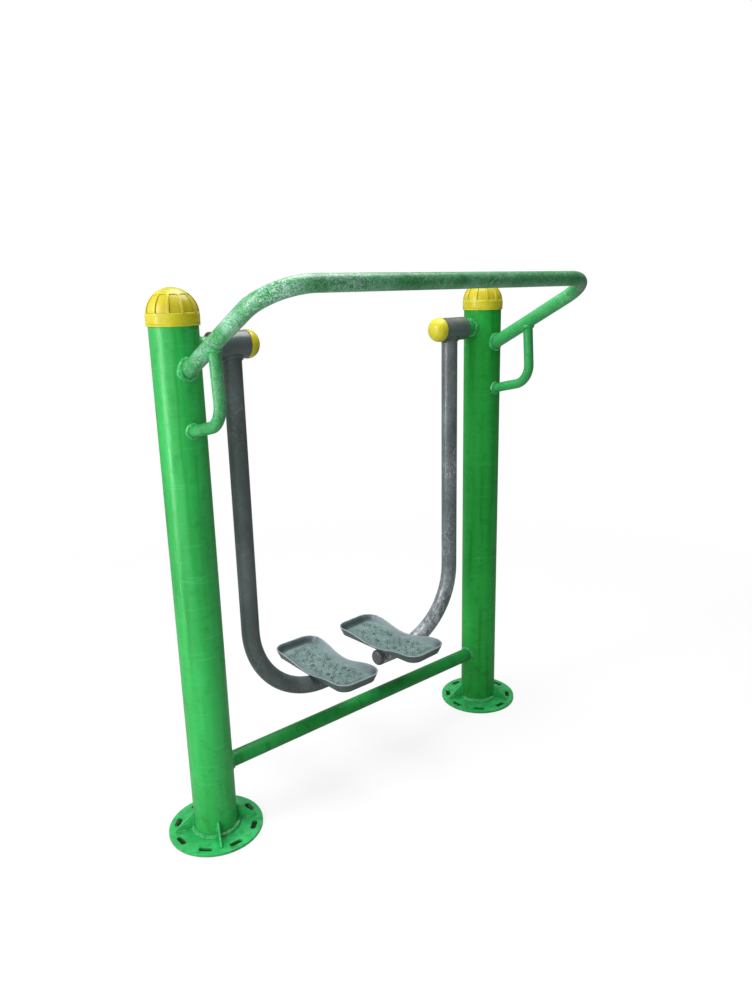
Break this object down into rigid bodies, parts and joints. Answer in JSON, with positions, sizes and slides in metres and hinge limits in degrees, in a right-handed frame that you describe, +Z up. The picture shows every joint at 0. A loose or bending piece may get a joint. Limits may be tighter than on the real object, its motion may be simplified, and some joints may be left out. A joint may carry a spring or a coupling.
{
  "type": "outdoor air walker",
  "caption": "Two-post outdoor air walker with a raised U-shaped handrail, side grips and free-swinging arms that carry footplates with raised toes and heels.",
  "frame": {"origin": "on the ground, at the middle of the bounding box's bottom", "axes": "+Z up, +X along the line of posts towards the right post, -Y towards the handrail that the user faces"},
  "size_m": [1.291, 0.6111, 1.4293],
  "materials": {
    "green_coat": "glossy green powder coat on steel tube",
    "grey_coat": "satin slate grey powder coat on steel tube",
    "cast_coat": "matt grey-green coat on a casting",
    "yellow_plastic": "semi-gloss moulded plastic",
    "grey_plastic": "matt moulded plastic",
    "bright_steel": "machined or zinc-plated steel"
  },
  "bodies": {
    "frame": {"crossbeam": "green_coat", "handrail": "green_coat", "left_post": "green_coat", "left_base_flange": "green_coat", "left_gusset_1": "green_coat", "left_gusset_2": "green_coat", "left_gusset_3": "green_coat", "left_gusset_4": "green_coat", "left_post_cap": "yellow_plastic", "left_side_grip": "green_coat", "left_axle_collar": "green_coat", "left_axle": "bright_steel", "left_cap_end_bearing_inner_ring": "bright_steel", "left_post_end_bearing_inner_ring": "bright_steel", "left_bearing_spacer": "bright_steel", "left_axle_washer": "bright_steel", "left_axle_nut": "bright_steel", "right_post": "green_coat", "right_base_flange": "green_coat", "right_gusset_1": "green_coat", "right_gusset_2": "green_coat", "right_gusset_3": "green_coat", "right_gusset_4": "green_coat", "right_post_cap": "yellow_plastic", "right_side_grip": "green_coat", "right_axle_collar": "green_coat", "right_axle": "bright_steel", "right_cap_end_bearing_inner_ring": "bright_steel", "right_post_end_bearing_inner_ring": "bright_steel", "right_bearing_spacer": "bright_steel", "right_axle_washer": "bright_steel", "right_axle_nut": "bright_steel"},
    "left_walker": {"left_hub": "grey_coat", "left_hub_end_cap": "yellow_plastic", "left_cap_end_bearing_outer_ring": "bright_steel", "left_cap_end_bearing_balls": "bright_steel", "left_post_end_bearing_outer_ring": "bright_steel", "left_post_end_bearing_balls": "bright_steel", "left_swing_arm": "grey_coat", "left_arm_plug": "grey_plastic", "left_saddle_plate": "grey_coat", "left_footplate": "cast_coat", "left_footplate_bolt_1": "bright_steel", "left_footplate_bolt_2": "bright_steel", "left_footplate_bolt_3": "bright_steel", "left_footplate_bolt_4": "bright_steel"},
    "right_walker": {"right_hub": "grey_coat", "right_hub_end_cap": "yellow_plastic", "right_cap_end_bearing_outer_ring": "bright_steel", "right_cap_end_bearing_balls": "bright_steel", "right_post_end_bearing_outer_ring": "bright_steel", "right_post_end_bearing_balls": "bright_steel", "right_swing_arm": "grey_coat", "right_arm_plug": "grey_plastic", "right_saddle_plate": "grey_coat", "right_footplate": "cast_coat", "right_footplate_bolt_1": "bright_steel", "right_footplate_bolt_2": "bright_steel", "right_footplate_bolt_3": "bright_steel", "right_footplate_bolt_4": "bright_steel"}
  },
  "joints": [
    {"name": "left_arm_swing", "type": "hinge", "parent": "frame", "child": "left_walker", "pos_m": [-0.384, 0.1183, 1.273], "axis": [1, 0, 0], "range_deg": [-60, 60]},
    {"name": "right_arm_swing", "type": "hinge", "parent": "frame", "child": "right_walker", "pos_m": [0.384, 0.1183, 1.273], "axis": [1, 0, 0], "range_deg": [-60, 60]}
  ]
}
